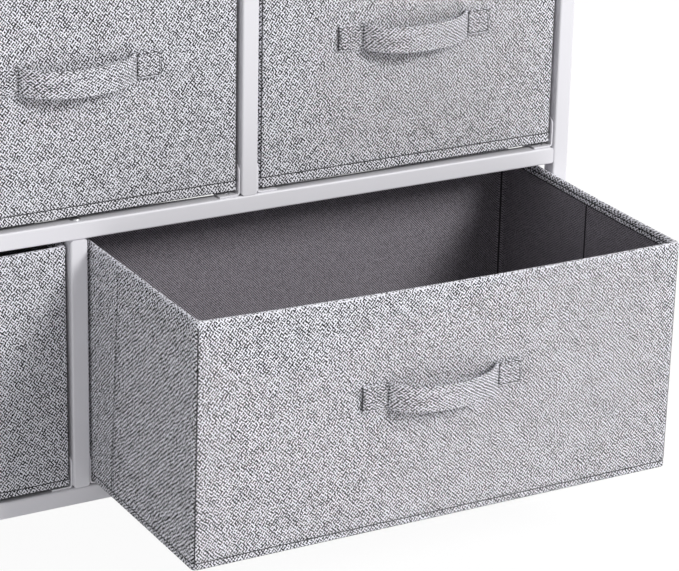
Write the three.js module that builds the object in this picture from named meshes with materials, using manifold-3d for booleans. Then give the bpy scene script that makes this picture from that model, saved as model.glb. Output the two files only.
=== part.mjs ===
// Fabric drawer dresser: a square-tube frame with L-section guides and five folding fabric drawers.
// Millimetres, +Z up. The drawers open towards -Y, and left and right are those of someone facing them.
// The upper row holds three small drawers and the lower row two wide ones.
// The lower right drawer stands pulled out and the others are closed.

import * as THREE from 'three';
import { mergeVertices } from 'three/addons/utils/BufferGeometryUtils.js';
import Module from 'manifold-3d';

const wasm = await Module();
wasm.setup();

// Frame
const overallWidth = 1000;
const frameDepth = 300;
const legDrop = 58;

// Square tube
const tubeSize = 16;
const tubeWall = 1.2;
const tubeCornerRadius = 1.8;
const railFaceRadius = 3.2;
const railEndCap = 2.5;
const boltBore = 6.4;
const boltSteps = 8;

// Top board
const boardThickness = 12;
const boardCornerRadius = 7;
const boardEdgeRound = 1;

// Levelling foot and the insert that carries it
const footPadDiameter = 20;
const footPadHeight = 6;
const footPadRound = 1.5;
const footStemDiameter = 8;
const footStemLength = 22;
const footExposedStem = 2;
const insertHeadHeight = 2;
const insertPlugLength = 14;

// L-section guide
const guideThickness = 1.5;
const guideHeight = 28;
const guideWidth = 20;
const guideBendRadius = 3.5;
const guideNoseRadius = 6;
const guideSetback = 2.5;
const guideScrewBore = 4.5;

// Fabric drawer
const drawerHeight = 226;
const drawerWall = 5;
const drawerFloor = 3;
const drawerCornerRadius = 6;
const drawerEdgeRound = 2;
const drawerRecess = 8;
const drawerBackClearance = 9;
const drawerTopClearance = 5.9;
const drawerSideClearance = 0.7;
const drawerPulledOut = 211;
const creaseWidth = 3;
const creaseDepth = 0.8;

// Base board in each drawer
const baseBoardThickness = 3;
const baseBoardClearance = 1;
const baseBoardCornerRadius = 4;

// Strap handle
const handleSpan = 104;
const handlePad = 27;
const handleHeight = 28;
const handleThickness = 3;
const handleBow = 15;
const handleCentreBelowTop = 97;
const handleFlareShare = 0.5;

// A cubic curve rises to this share of the height of its two middle points
const cubicRiseShare = 0.75;

// Gap left between pieces that rest on or against each other, and the overrun of every cut
const fitGap = 0.3;
const cutOverrun = 1;

// Facets
const sectionArcSteps = 2;
const faceArcSteps = 3;
const handleSteps = 12;
const roundSteps = 12;

// Colours from the photograph
const frameWhite = new THREE.MeshStandardMaterial({ color: 0xe6e6ea, roughness: 0.38, metalness: 0.0 });
const boardWhite = new THREE.MeshStandardMaterial({ color: 0xe4e2df, roughness: 0.5, metalness: 0.0 });
const greyFabric = new THREE.MeshStandardMaterial({ color: 0xa9a9ad, roughness: 0.95, metalness: 0.0 });
const darkLining = new THREE.MeshStandardMaterial({ color: 0x5f585c, roughness: 0.95, metalness: 0.0 });
const blackPlastic = new THREE.MeshStandardMaterial({ color: 0x2b2b2d, roughness: 0.6, metalness: 0.0 });

// Levels and depths worked out from the driving sizes
const drawerRest = fitGap + guideThickness + fitGap;
const drawerDepth = frameDepth - drawerRecess - drawerBackClearance;
const rowPitch = drawerRest + drawerHeight + drawerTopClearance + tubeSize;
const bottomRailTop = legDrop + tubeSize;
const middleRailTop = bottomRailTop + rowPitch;
const topRailTop = middleRailTop + rowPitch;
const postFoot = footPadHeight + footExposedStem + insertHeadHeight + fitGap;
const handleReach = fitGap + handleBow + handleThickness;
const footOverhang = Math.max(0, (footPadDiameter - tubeSize) / 2);

// Front of the frame, so that the whole dresser, from the open drawer's handle to its rear feet,
// stands centred on the origin
const frontReach = drawerPulledOut + handleReach - drawerRecess;
const frameFront = (frontReach - frameDepth - footOverhang) / 2;
const frameBack = frameFront + frameDepth;
const postX = (overallWidth - tubeSize) / 2;
const frontTubeY = frameFront + tubeSize / 2;
const rearTubeY = frameBack - tubeSize / 2;

// The two rows of drawers
const rows = [
  { name: 'upper', bays: ['left', 'middle', 'right'], level: middleRailTop },
  { name: 'lower', bays: ['left', 'right'], level: bottomRailTop },
];

function bayWidth(row) {
  return (overallWidth - (row.bays.length + 1) * tubeSize) / row.bays.length;
}

function bayCentre(row, index) {
  return (index - (row.bays.length - 1) / 2) * (bayWidth(row) + tubeSize);
}

// Solids and meshes

function solidFrom(geometry) {
  geometry.deleteAttribute('normal');
  geometry.deleteAttribute('uv');
  const merged = mergeVertices(geometry);
  const mesh = new wasm.Mesh({
    numProp: 3,
    vertProperties: new Float32Array(merged.attributes.position.array),
    triVerts: new Uint32Array(merged.index.array),
  });
  return new wasm.Manifold(mesh);
}

function geometryFrom(solid) {
  const mesh = solid.getMesh();
  const geometry = new THREE.BufferGeometry();
  geometry.setAttribute('position', new THREE.BufferAttribute(mesh.vertProperties, mesh.numProp));
  geometry.setIndex(new THREE.BufferAttribute(mesh.triVerts, 1));
  geometry.computeVertexNormals();
  return geometry;
}

function addPiece(group, name, geometry, material, x = 0, y = 0, z = 0) {
  const piece = new THREE.Mesh(geometry, material);
  piece.name = name;
  piece.position.set(x, y, z);
  group.add(piece);
  return piece;
}

// A rectangle with round corners, centred on the origin
function roundedRectangle(width, height, radius, outline = new THREE.Shape()) {
  const x = width / 2 - radius;
  const y = height / 2 - radius;
  outline.absarc(x, y, radius, 0, Math.PI / 2);
  outline.absarc(-x, y, radius, Math.PI / 2, Math.PI);
  outline.absarc(-x, -y, radius, Math.PI, Math.PI * 1.5);
  outline.absarc(x, -y, radius, Math.PI * 1.5, Math.PI * 2);
  outline.closePath();
  return outline;
}

function extrude(shape, depth, curveSegments, edgeRound = 0) {
  const geometry = new THREE.ExtrudeGeometry(shape, {
    depth: depth - 2 * edgeRound,
    curveSegments,
    bevelEnabled: edgeRound > 0,
    bevelThickness: edgeRound,
    bevelSize: edgeRound,
    bevelOffset: -edgeRound,
    bevelSegments: 2,
    steps: 1,
  });
  geometry.translate(0, 0, edgeRound);
  return geometry;
}

// Cuts bolt holes along X through both walls of an upright tube, at the given heights
function crossBored(tube, heights) {
  let bored = tube;
  for (const height of heights) {
    const bore = new THREE.CylinderGeometry(
      boltBore / 2,
      boltBore / 2,
      tubeSize + 2 * cutOverrun,
      boltSteps,
    );
    bore.rotateZ(Math.PI / 2);
    bore.translate(0, 0, height);
    bored = bored.subtract(solidFrom(bore));
  }
  return bored;
}

// Square tube along its own Z, centred, with the cap ends of a rail: closed, round at the face corners,
// with a bore for the joining bolt and bolt holes across it where others are joined to it
function railTube(length, crossings = []) {
  const section = extrude(roundedRectangle(tubeSize, tubeSize, tubeCornerRadius), length, sectionArcSteps);
  section.translate(0, 0, -length / 2);
  const face = extrude(roundedRectangle(tubeSize, length, railFaceRadius), tubeSize, faceArcSteps);
  face.translate(0, 0, -tubeSize / 2);
  face.rotateX(Math.PI / 2);
  const inside = tubeSize - 2 * tubeWall;
  const hollow = new THREE.BoxGeometry(inside, inside, length - 2 * railEndCap);
  const bore = new THREE.CylinderGeometry(boltBore / 2, boltBore / 2, length + 2 * cutOverrun, boltSteps);
  bore.rotateX(Math.PI / 2);
  const outer = solidFrom(section).intersect(solidFrom(face));
  const tube = outer.subtract(solidFrom(hollow)).subtract(solidFrom(bore));
  return geometryFrom(crossBored(tube, crossings));
}

// Open-ended square tube along Z, from its foot up, with bolt holes for the rails
function postTube(length, crossings) {
  const outline = roundedRectangle(tubeSize, tubeSize, tubeCornerRadius);
  const inside = tubeSize - 2 * tubeWall;
  const innerRadius = tubeCornerRadius - tubeWall;
  outline.holes.push(roundedRectangle(inside, inside, innerRadius, new THREE.Path()));
  return geometryFrom(crossBored(solidFrom(extrude(outline, length, sectionArcSteps)), crossings));
}

// Insert in the foot of a post: a head under the tube, a plug inside it and a bore for the foot's stem
function footInsert() {
  const head = extrude(
    roundedRectangle(tubeSize, tubeSize, tubeCornerRadius),
    insertHeadHeight,
    sectionArcSteps,
  );
  const plugSize = tubeSize - 2 * (tubeWall + fitGap);
  const plugHeight = insertHeadHeight + fitGap + insertPlugLength;
  const plugRadius = tubeCornerRadius - tubeWall;
  const plug = extrude(roundedRectangle(plugSize, plugSize, plugRadius), plugHeight, sectionArcSteps);
  const boreRadius = footStemDiameter / 2 + fitGap;
  const bore = new THREE.CylinderGeometry(boreRadius, boreRadius, plugHeight + 2 * cutOverrun, roundSteps);
  bore.rotateX(Math.PI / 2);
  bore.translate(0, 0, plugHeight / 2);
  return geometryFrom(solidFrom(head).add(solidFrom(plug)).subtract(solidFrom(bore)));
}

// Levelling foot: a round pad with a stem, turned about Z
function levellingFoot() {
  const padRadius = footPadDiameter / 2;
  const stemRadius = footStemDiameter / 2;
  const profile = [
    new THREE.Vector2(0, 0),
    new THREE.Vector2(padRadius - footPadRound / 2, 0),
    new THREE.Vector2(padRadius, footPadRound),
    new THREE.Vector2(padRadius - footPadRound, footPadHeight),
    new THREE.Vector2(stemRadius, footPadHeight),
    new THREE.Vector2(stemRadius, footStemLength),
    new THREE.Vector2(0, footStemLength),
  ];
  const foot = new THREE.LatheGeometry(profile, roundSteps);
  foot.rotateX(Math.PI / 2);
  return geometryFrom(solidFrom(foot));
}

// L-section guide along Y, with its upright at x = 0 and its shelf towards +X (side 1) or -X (side -1),
// and a screw hole through the shelf above each rail
function drawerGuide(side) {
  const length = frameDepth - 2 * guideSetback;
  const innerBend = guideBendRadius - guideThickness;
  const bend = guideBendRadius;
  const section = new THREE.Shape();
  section.moveTo(0, guideHeight);
  section.lineTo(0, bend);
  section.absarc(bend, bend, bend, Math.PI, Math.PI * 1.5);
  section.lineTo(guideWidth, 0);
  section.lineTo(guideWidth, guideThickness);
  section.lineTo(bend, guideThickness);
  section.absarc(bend, bend, innerBend, Math.PI * 1.5, Math.PI, true);
  section.lineTo(guideThickness, guideHeight);
  section.closePath();
  const bar = extrude(section, length, faceArcSteps);
  bar.rotateX(Math.PI / 2);
  bar.translate(0, length / 2, 0);
  const profile = new THREE.Shape();
  const nose = length / 2 - guideNoseRadius;
  const shoulder = guideHeight - guideNoseRadius;
  profile.moveTo(-length / 2, 0);
  profile.lineTo(length / 2, 0);
  profile.absarc(nose, shoulder, guideNoseRadius, 0, Math.PI / 2);
  profile.absarc(-nose, shoulder, guideNoseRadius, Math.PI / 2, Math.PI);
  profile.closePath();
  const trim = extrude(profile, guideWidth + 2 * cutOverrun, faceArcSteps);
  trim.rotateX(Math.PI / 2);
  trim.rotateZ(Math.PI / 2);
  trim.translate(-cutOverrun, 0, 0);
  let bored = solidFrom(bar).intersect(solidFrom(trim));
  for (const end of [-1, 1]) {
    const radius = guideScrewBore / 2;
    const bore = new THREE.CylinderGeometry(radius, radius, 2 * (guideThickness + cutOverrun), boltSteps);
    bore.rotateX(Math.PI / 2);
    bore.translate(guideWidth / 2, (end * (frameDepth - tubeSize)) / 2, 0);
    bored = bored.subtract(solidFrom(bore));
  }
  const guide = geometryFrom(bored);
  if (side < 0) guide.rotateZ(Math.PI);
  return guide;
}

// Folding fabric box: round upright corners, soft edges, open top and a fold line down each side wall
function drawerBox(width) {
  const plan = roundedRectangle(width, drawerDepth, drawerCornerRadius);
  const body = extrude(plan, drawerHeight, faceArcSteps, drawerEdgeRound);
  const innerPlan = roundedRectangle(
    width - 2 * drawerWall,
    drawerDepth - 2 * drawerWall,
    drawerCornerRadius - drawerWall / 2,
  );
  const inside = extrude(innerPlan, drawerHeight, faceArcSteps);
  inside.translate(0, 0, drawerFloor);
  let box = solidFrom(body).subtract(solidFrom(inside));
  for (const side of [-1, 1]) {
    for (const face of [width / 2, width / 2 - drawerWall]) {
      const crease = extrude(creaseSection(), drawerHeight, faceArcSteps);
      crease.translate(side * face, 0, drawerFloor + drawerEdgeRound);
      box = box.subtract(solidFrom(crease));
    }
  }
  return geometryFrom(box);
}

function creaseSection() {
  const section = new THREE.Shape();
  section.moveTo(-creaseDepth, 0);
  section.lineTo(0, -creaseWidth / 2);
  section.lineTo(creaseDepth, 0);
  section.lineTo(0, creaseWidth / 2);
  section.closePath();
  return section;
}

function baseBoard(width) {
  const inset = 2 * (drawerWall + baseBoardClearance);
  const plan = roundedRectangle(width - inset, drawerDepth - inset, baseBoardCornerRadius);
  return extrude(plan, baseBoardThickness, faceArcSteps);
}

// Strap handle seen from above: two sewn ends flat on the drawer and a bow between them, towards -Y
function strapHandle() {
  const half = handleSpan / 2;
  const end = half + handlePad;
  const pull = -handleBow / cubicRiseShare;
  const bow = new THREE.CubicBezierCurve(
    new THREE.Vector2(half, 0),
    new THREE.Vector2(half * handleFlareShare, pull),
    new THREE.Vector2(-half * handleFlareShare, pull),
    new THREE.Vector2(-half, 0),
  );
  const inner = bow.getPoints(handleSteps);
  const outer = inner.map((point) => new THREE.Vector2(point.x, point.y - handleThickness)).reverse();
  const outline = new THREE.Shape();
  outline.moveTo(end, 0);
  for (const point of inner) outline.lineTo(point.x, point.y);
  outline.lineTo(-end, 0);
  outline.lineTo(-end, -handleThickness);
  for (const point of outer) outline.lineTo(point.x, point.y);
  outline.lineTo(end, -handleThickness);
  outline.closePath();
  return extrude(outline, handleHeight, faceArcSteps);
}

// The frame

function addRail(group, name, length, x, y, top, crossings) {
  const rail = addPiece(group, name, railTube(length, crossings), frameWhite, x, y, top - tubeSize / 2);
  rail.rotation.y = Math.PI / 2;
}

function addSideRail(group, name, x, top) {
  const length = frameDepth - 2 * (tubeSize + fitGap);
  const middleY = (frameFront + frameBack) / 2;
  const rail = addPiece(group, name, railTube(length), frameWhite, x, middleY, top - tubeSize / 2);
  rail.rotation.x = Math.PI / 2;
}

function addFrame(group) {
  const railLength = overallWidth - 2 * (tubeSize + fitGap);
  const levels = [
    ['bottom', bottomRailTop],
    ['middle', middleRailTop],
    ['top', topRailTop],
  ];
  const planes = [
    ['front', frontTubeY],
    ['rear', rearTubeY],
  ];
  const sides = [
    ['left', -postX],
    ['right', postX],
  ];
  const postLength = topRailTop - postFoot;
  const boltHeights = levels.map(([, top]) => top - tubeSize / 2 - postFoot);
  for (const [plane, y] of planes) {
    for (const [side, x] of sides) {
      addPiece(group, `${plane}_${side}_post`, postTube(postLength, boltHeights), frameWhite, x, y, postFoot);
      const insertZ = postFoot - fitGap - insertHeadHeight;
      addPiece(group, `${plane}_${side}_foot_insert`, footInsert(), blackPlastic, x, y, insertZ);
      addPiece(group, `${plane}_${side}_levelling_foot`, levellingFoot(), blackPlastic, x, y);
    }
    for (const [level, top] of levels) {
      addRail(group, `${plane}_${level}_rail`, railLength, 0, y, top, boltPlaces(level));
    }
  }
  for (const [side, x] of sides) {
    for (const [level, top] of levels) {
      addSideRail(group, `${side}_side_${level}_rail`, x, top);
    }
  }
  addDividers(group, planes);
  const board = extrude(
    roundedRectangle(overallWidth, frameDepth, boardCornerRadius),
    boardThickness,
    faceArcSteps,
    boardEdgeRound,
  );
  addPiece(group, 'top_board', board, boardWhite, 0, (frameFront + frameBack) / 2, topRailTop + fitGap);
}

function dividerPlaces(row) {
  const step = bayWidth(row) + tubeSize;
  return row.bays.slice(1).map((_, index) => bayCentre(row, index + 1) - step / 2);
}

// Places along a rail where a divider above or below it is bolted on
function boltPlaces(level) {
  const joined = rows.filter((row) => (row.name === 'upper' ? level !== 'bottom' : level !== 'top'));
  return joined.flatMap((row) => dividerPlaces(row));
}

// Dividers stand between the rails, one fewer than the bays of their row
function addDividers(group, planes) {
  const length = rowPitch - tubeSize - 2 * fitGap;
  for (const [plane, y] of planes) {
    for (const row of rows) {
      const places = dividerPlaces(row);
      places.forEach((x, index) => {
        const place = places.length > 1 ? `_${index + 1}` : '';
        const name = `${plane}_${row.name}_divider${place}`;
        addPiece(group, name, railTube(length), frameWhite, x, y, row.level + fitGap + length / 2);
      });
    }
  }
}

function addGuides(group) {
  const middleY = (frameFront + frameBack) / 2;
  for (const row of rows) {
    row.bays.forEach((bay, index) => {
      for (const [side, sign] of [['left', 1], ['right', -1]]) {
        const x = bayCentre(row, index) - sign * (bayWidth(row) / 2 - fitGap);
        const name = `${row.name}_${bay}_bay_${side}_guide`;
        addPiece(group, name, drawerGuide(sign), frameWhite, x, middleY, row.level + fitGap);
      }
    });
  }
}

// The drawers

function addDrawer(group, row, bay, x, pulledOut) {
  const width = bayWidth(row) - 2 * (fitGap + guideThickness + drawerSideClearance);
  const name = `${row.name}_${bay}_drawer`;
  const drawer = new THREE.Group();
  const front = frameFront + drawerRecess - pulledOut;
  drawer.position.set(x, front, row.level + drawerRest);
  addPiece(drawer, `${name}_box`, drawerBox(width), greyFabric, 0, drawerDepth / 2, 0);
  const boardZ = drawerFloor + fitGap;
  addPiece(drawer, `${name}_base_board`, baseBoard(width), darkLining, 0, drawerDepth / 2, boardZ);
  const handleZ = drawerHeight - handleCentreBelowTop - handleHeight / 2;
  addPiece(drawer, `${name}_handle`, strapHandle(), greyFabric, 0, -fitGap, handleZ);
  group.add(drawer);
}

function addDrawers(group) {
  for (const row of rows) {
    row.bays.forEach((bay, index) => {
      const open = row.name === 'lower' && bay === 'right';
      addDrawer(group, row, bay, bayCentre(row, index), open ? drawerPulledOut : 0);
    });
  }
}

const dresser = new THREE.Group();
addFrame(dresser);
addGuides(dresser);
addDrawers(dresser);

export default dresser;
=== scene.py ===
"""Fabric drawer dresser: the visual model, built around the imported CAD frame.

Metres in the row frame: +X to the right of someone facing the drawers, +Y from the drawers to
the back, +Z up. Laid out as a Blender add-on: sizes and colours are scene properties, and each
group of pieces has its own operator.
"""

import math

import bpy
import numpy as np
from bpy.props import FloatProperty, FloatVectorProperty, PointerProperty
from mathutils import Matrix, Vector, noise


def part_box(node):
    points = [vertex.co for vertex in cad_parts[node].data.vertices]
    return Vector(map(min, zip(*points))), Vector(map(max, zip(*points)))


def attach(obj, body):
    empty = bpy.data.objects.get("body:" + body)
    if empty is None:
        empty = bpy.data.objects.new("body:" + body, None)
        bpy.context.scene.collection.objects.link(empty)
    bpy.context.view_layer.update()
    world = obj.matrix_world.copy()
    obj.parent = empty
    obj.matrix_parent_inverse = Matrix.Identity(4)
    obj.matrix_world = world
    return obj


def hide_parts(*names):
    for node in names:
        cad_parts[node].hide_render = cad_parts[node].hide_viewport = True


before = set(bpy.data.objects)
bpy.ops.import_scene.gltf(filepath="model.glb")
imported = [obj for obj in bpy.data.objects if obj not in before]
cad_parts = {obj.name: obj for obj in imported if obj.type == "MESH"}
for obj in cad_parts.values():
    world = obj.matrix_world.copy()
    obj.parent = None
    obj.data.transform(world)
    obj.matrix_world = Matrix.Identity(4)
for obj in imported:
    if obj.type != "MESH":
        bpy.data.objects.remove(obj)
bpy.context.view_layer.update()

bl_info = {
    "name": "Fabric Drawer Dresser",
    "version": (1, 0, 0),
    "blender": (4, 5, 0),
    "location": "View3D > Sidebar > Dresser",
    "description": "Paint, fabric drawers, handles, thread and stage for a packed dresser frame",
    "category": "Object",
}

MM = 0.001

# The drawers, as (row, bay)
BAYS = [("upper", bay) for bay in ("left", "middle", "right")]
BAYS += [("lower", bay) for bay in ("left", "right")]


def lerp(low, high, part):
    """The value a part of the way from low to high."""
    return low + (high - low) * part


def clamp(value):
    """The value kept between 0 and 1."""
    return min(1.0, max(0.0, value))


# Sizes and colours


def length(name, description, millimetres):
    """A length property that is shown in the scene's own unit."""
    default = millimetres * MM
    return FloatProperty(
        name=name, description=description, default=default, unit="LENGTH", precision=5
    )


def number(name, description, default):
    """A plain number property."""
    return FloatProperty(name=name, description=description, default=default, precision=4)


def colour(name, description, default):
    """A linear colour property."""
    limits = {"min": 0.0, "max": 1.0}
    return FloatVectorProperty(
        name=name, description=description, default=default, subtype="COLOR", size=3, **limits
    )


class DrawerSizes(bpy.types.PropertyGroup):
    """Sizes of the soft drawer boxes."""

    corner_radius: length("Corner radius", "Radius of the sewn upright corners", 4.8)
    wide_hem: length("Wide hem", "Height of the hem's seam on a wide drawer", 6.6)
    small_hem: length("Small hem", "Height of the hem's seam on a small drawer", 9.6)
    rim_seam: length("Rim seam", "Depth of the outer seam below the top edge", 10.0)
    band_height: length("Inner band", "Height of the fabric that is turned in over the rim", 10.0)
    wall: length("Wall", "Thickness of two layers of fabric and the board between them", 4.1)
    lining: length("Lining", "Thickness of the lining", 0.8)
    wide_sag: length("Wide sag", "Fall of a wide drawer's front and back top edges", 3.0)
    small_sag: length("Small sag", "Fall of a small drawer's front and back top edges", 1.0)
    side_sag: length("Side sag", "Fall of the side top edges in the middle", 1.0)
    fold: length("Side fold", "Depth to which a side wall folds inwards at its middle", 0.9)
    fold_groove: length("Fold groove", "Depth of the groove along the fold of a side wall", 0.8)
    corner_groove: length("Corner groove", "Depth of the groove down each sewn corner", 0.9)
    inner_radius: length("Inner corner radius", "Radius of the corners inside the walls", 7.0)
    bow: length("Front bow", "Depth to which the front panel curves inwards", 0.8)
    wrinkle: length("Wrinkle", "Height of the slow waves in the walls", 0.35)


class HandleSizes(bpy.types.PropertyGroup):
    """Sizes of the strap handles."""

    span: length("Span", "Free length of the strap between its sewn ends", 106.0)
    pad: length("Sewn end", "Length of each sewn end", 24.8)
    height: length("Height", "Height of the strap", 24.6)
    thickness: length("Thickness", "Thickness of the folded strap", 3.0)
    bow: length("Bow", "How far the strap stands off in the middle", 16.5)
    sag: length("Sag", "How far the strap hangs in the middle", 4.5)
    stitch_inset: length("Stitch inset", "Distance of the seams from a sewn end's edges", 2.2)


class ThreadSizes(bpy.types.PropertyGroup):
    """Sizes of the sewing."""

    radius: length("Thread radius", "Radius of the sewing thread", 0.42)
    stitch: length("Stitch", "Length of one stitch", 2.8)
    pitch: length("Pitch", "Distance from one stitch to the next", 3.2)


class Looks(bpy.types.PropertyGroup):
    """Colours and textures of the finishes."""

    fabric_dark: colour("Fabric dark", "Dark strokes of the fabric", (0.01, 0.01, 0.011))
    fabric_mid: colour("Fabric mid", "Ground of the fabric", (0.376, 0.374, 0.41))
    fabric_light: colour("Fabric light", "Light strokes of the fabric", (0.93, 0.925, 0.985))
    stroke_width: length("Stroke width", "Width of a stroke in the fabric", 1.18)
    stroke_length: length("Stroke length", "Length of a stroke in the fabric", 1.7)
    stroke_patch: length("Stroke patch", "Distance over which the strokes change direction", 1.9)
    speck_size: length("Speck", "Size of the specks between the strokes", 1.0)
    lining: colour("Lining", "Non-woven lining", (0.248, 0.232, 0.258))
    lining_line: length("Lining line", "Width of an embossed line of the lining", 0.88)
    lining_dash: length("Lining dash", "Length of an embossed dash of the lining", 1.35)
    thread: colour("Thread", "Sewing thread", (0.03, 0.03, 0.032))
    paint: colour("Paint", "Powder-coated frame", (0.86, 0.85, 0.89))
    laminate: colour("Laminate", "Top board", (0.80, 0.79, 0.77))
    plastic: colour("Plastic", "Feet and inserts", (0.03, 0.03, 0.032))
    zinc: colour("Zinc", "Bolts and screws", (0.62, 0.62, 0.64))


class StageSettings(bpy.types.PropertyGroup):
    """Lights, floor and background."""

    key: number("Key", "Power of the key light, in watts", 300.0)
    fill: number("Fill", "Strength of the even light from all sides", 0.43)
    floor: colour("Floor", "Pale floor", (0.93, 0.93, 0.94))
    floor_white: number("Floor white", "Share of plain white in the floor as it is seen", 0.9)


# Shader maths

WHITE = (1.0, 1.0, 1.0, 1.0)


class Value:
    """One output of a node. Using it in an expression adds Math nodes."""

    def __init__(self, tree, socket):
        self.tree = tree
        self.socket = socket

    def other(self, name):
        """Another output of the same node."""
        return Value(self.tree, self.socket.node.outputs[name])

    def math(self, operation, *values):
        settings = {"operation": operation}
        return self.tree.node("ShaderNodeMath", settings, dict(enumerate(values)), "Value")

    def __add__(self, other):
        return self.math("ADD", self, other)

    def __radd__(self, other):
        return self.math("ADD", other, self)

    def __sub__(self, other):
        return self.math("SUBTRACT", self, other)

    def __rsub__(self, other):
        return self.math("SUBTRACT", other, self)

    def __mul__(self, other):
        return self.math("MULTIPLY", self, other)

    def __rmul__(self, other):
        return self.math("MULTIPLY", other, self)

    def __gt__(self, other):
        return self.math("GREATER_THAN", self, other)

    def larger(self, other):
        return self.math("MAXIMUM", self, other)

    def floor(self):
        return self.math("FLOOR", self)

    def fraction(self):
        return self.math("FRACT", self)


class NodeTree:
    """The nodes of a material or a world under construction."""

    def __init__(self, owner):
        owner.use_nodes = True
        self.tree = owner.node_tree
        self.tree.nodes.clear()

    def node(self, kind, settings, inputs, output=0):
        """Adds a node: its settings first, then the values or links of its sockets.

        Returns one output, or the node itself where it has none.
        """
        made = self.tree.nodes.new(kind)
        for key, value in settings.items():
            if key == "stops":
                self.set_stops(made.color_ramp, value)
            else:
                setattr(made, key, value)
        for key, value in inputs.items():
            self.connect(made.inputs[key], value)
        return Value(self, made.outputs[output]) if len(made.outputs) else made

    def connect(self, socket, value):
        if isinstance(value, Value):
            self.tree.links.new(value.socket, socket)
        else:
            socket.default_value = value

    @staticmethod
    def set_stops(ramp, stops):
        while len(ramp.elements) < len(stops):
            ramp.elements.new(0.5)
        for element, (position, rgb) in zip(ramp.elements, stops):
            element.position = position
            element.color = (*rgb, 1.0)

    def seen(self):
        """1 for what the camera sees, also in a shiny or clear surface, and 0 for other light."""
        camera = self.node("ShaderNodeLightPath", {}, {}, "Is Camera Ray")
        shiny = camera.larger(camera.other("Is Glossy Ray"))
        return shiny.larger(camera.other("Is Transmission Ray"))

    def whitened(self, share, lit, kind, strength):
        """Mixes a share of white light, from a node of the given kind, into a lit shader."""
        white = self.node(kind, {}, {"Color": WHITE, "Strength": strength})
        return self.node("ShaderNodeMixShader", {}, {0: share, 1: lit, 2: white})


def toned(rgb, part):
    """A darker or lighter tone of a colour."""
    return [c * part for c in rgb]


class Shader(NodeTree):
    """A material under construction, with one Principled surface."""

    def __init__(self, name):
        self.material = bpy.data.materials.new(name)
        super().__init__(self.material)
        self.surface = self.node("ShaderNodeBsdfPrincipled", {}, {})
        self.output = self.node("ShaderNodeOutputMaterial", {}, {"Surface": self.surface})

    def finished(self, **inputs):
        """Sets sockets of the surface, named with underscores for spaces. Returns the material."""
        sockets = self.surface.socket.node.inputs
        for key, value in inputs.items():
            self.connect(sockets[key.replace("_", " ")], value)
        return self.material

    def point(self, kind="Object"):
        """The place on the surface in metres, in Object or UV coordinates."""
        return self.node("ShaderNodeTexCoord", {}, {}, kind)

    def split(self, vector):
        """The three numbers of a vector."""
        x = self.node("ShaderNodeSeparateXYZ", {}, {"Vector": vector}, "X")
        return x, x.other("Y"), x.other("Z")

    def vector(self, x, y, z=0.0):
        return self.node("ShaderNodeCombineXYZ", {}, {"X": x, "Y": y, "Z": z})

    def random(self, x, y, z=0.0):
        """A random number for each whole-numbered cell."""
        inputs = {"Vector": self.vector(x, y, z)}
        return self.node("ShaderNodeTexWhiteNoise", {"noise_dimensions": "3D"}, inputs, "Value")

    def noise(self, vector, scale, detail=2.0, roughness=0.5):
        """Smooth noise from 0 to 1 whose cells measure 1 / scale metres."""
        inputs = {"Vector": vector, "Scale": scale, "Detail": detail, "Roughness": roughness}
        return self.node("ShaderNodeTexNoise", {"noise_dimensions": "3D"}, inputs, "Fac")

    def step(self, value, low, high):
        """Smooth step from 0 below low to 1 above high."""
        inputs = {"Value": value, "From Min": low, "From Max": high}
        settings = {"interpolation_type": "SMOOTHSTEP"}
        return self.node("ShaderNodeMapRange", settings, inputs, "Result")

    def mix(self, factor, first, second):
        """Mixes two colours."""
        first, second = (c if isinstance(c, Value) else (*c, 1.0) for c in (first, second))
        inputs = {"Factor": factor, 6: first, 7: second}
        return self.node("ShaderNodeMix", {"data_type": "RGBA"}, inputs, 2)

    def shaded(self, factor, rgb, part):
        """Mixes a colour with a tone of itself."""
        return self.mix(factor, rgb, toned(rgb, part))

    def ramp(self, value, stops):
        return self.node("ShaderNodeValToRGB", {"stops": stops}, {"Fac": value}, "Color")

    def bump(self, height, strength, distance):
        inputs = {"Strength": strength, "Distance": distance, "Height": height}
        return self.node("ShaderNodeBump", {}, inputs, "Normal")


# Finishes


def stroke_layer(shader, point, angle, size, faintest, seed):
    """Light and dark strokes by turns, of random strength, that run in one direction."""
    u, v = point
    width, run = size
    most_shift = 3.0
    along = u * math.cos(angle) + v * math.sin(angle)
    across = v * math.cos(angle) - u * math.sin(angle)
    line = across * (1.0 / width)
    row = line.floor()
    shift = shader.random(row, seed) * most_shift
    cell = (along * (1.0 / run) + shift).floor()
    strength = faintest + shader.random(row, cell, seed) * (1.0 - faintest)
    side = ((line * 0.5).fraction() > 0.5) - 0.5
    return side * strength + 0.5


def wander(shader, u, v, scale, reach, seeds):
    """How far the threads are off their straight course at a place, in both directions."""
    off_u = shader.noise(shader.vector(u, v, seeds[0]), scale, 1.0)
    off_v = shader.noise(shader.vector(v, u, seeds[1]), scale, 1.0)
    return (off_u - 0.5) * reach, (off_v - 0.5) * reach


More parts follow.
